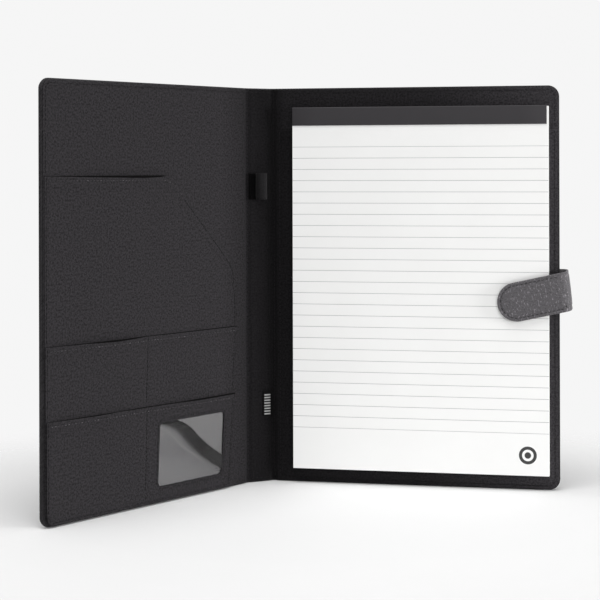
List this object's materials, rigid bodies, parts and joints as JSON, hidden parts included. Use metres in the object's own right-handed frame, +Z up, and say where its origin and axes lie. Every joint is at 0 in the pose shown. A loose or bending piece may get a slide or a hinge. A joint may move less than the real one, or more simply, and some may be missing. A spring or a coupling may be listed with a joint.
{
  "type": "portfolio folder",
  "caption": "Cloth-covered conference folder standing open like a book, with pockets, pen loop, slot panel with a writing pad and a magnetic strap.",
  "frame": {"origin": "on the ground under the middle of the folder as it stands open", "axes": "+Z up along the spine, +X to the reader's right, +Y away from the reader, towards the outside of the back cover"},
  "size_m": [0.407, 0.2056, 0.326],
  "materials": {
    "skin_cloth": "matt woven polyester",
    "lining_cloth": "matt woven polyester",
    "strap_cloth": "mottled coated cloth",
    "strap_lining": "matt woven polyester",
    "elastic": "ribbed elastic ribbon",
    "binding_tape": "smooth paper-backed tape",
    "greyboard": "uncoated pulp board",
    "paper": "uncoated white paper, ruled",
    "clear_film": "clear soft film",
    "steel": "plain steel disc"
  },
  "bodies": {
    "back_cover": {"back_outer_skin": "skin_cloth", "back_board": "greyboard", "back_lining": "lining_cloth", "pad_pocket": "lining_cloth", "strap_anchor": "strap_cloth", "strap_root_bend": "strap_cloth", "back_hinge_web": "skin_cloth"},
    "spine": {"spine_outer_skin": "skin_cloth", "spine_board": "greyboard", "spine_lining": "lining_cloth", "pen_loop": "elastic", "woven_tag": "elastic", "front_hinge_web": "skin_cloth"},
    "front_cover": {"front_outer_skin": "skin_cloth", "front_board": "greyboard", "front_keeper_plate": "steel", "front_lining": "lining_cloth", "document_pocket": "lining_cloth", "middle_pocket": "lining_cloth", "card_pocket": "lining_cloth", "card_window": "clear_film"},
    "notepad": {"pad_leaves": "paper", "pad_backing": "greyboard", "pad_head_tape": "binding_tape"},
    "strap_bridge": {"strap_bridge": "strap_cloth", "strap_tip_bend": "strap_cloth"},
    "strap_flap": {"strap_flap_outer": "strap_cloth", "strap_flap_lining": "strap_lining", "strap_stiffener": "greyboard", "strap_magnet": "steel"}
  },
  "joints": [
    {"name": "back_gutter_hinge", "type": "hinge", "parent": "back_cover", "child": "spine", "pos_m": [-0.03876, 0.10152, 0.163], "axis": [0, 0, 1], "range_deg": [-42, 48], "deforming": ["back_hinge_web"]},
    {"name": "front_gutter_hinge", "type": "hinge", "parent": "spine", "child": "front_cover", "pos_m": [-0.06047, 0.08912, 0.163], "axis": [0, 0, 1], "range_deg": [-23.6, 66.4], "deforming": ["front_hinge_web"]},
    {"name": "pad_slide", "type": "slide", "parent": "back_cover", "child": "notepad", "axis": [0, 0, 1], "range_m": [0, 0.28]},
    {"name": "strap_root_fold", "type": "hinge", "parent": "back_cover", "child": "strap_bridge", "pos_m": [0.20001, 0.05166, 0.16258], "axis": [-0.1055, 0.0229, 0.9942], "range_deg": [0, 90], "deforming": ["strap_root_bend"]},
    {"name": "strap_tip_fold", "type": "hinge", "parent": "strap_bridge", "child": "strap_flap", "pos_m": [0.19742, 0.03972, 0.16258], "axis": [-0.1055, 0.0229, 0.9942], "range_deg": [0, 90], "deforming": ["strap_tip_bend"]}
  ]
}
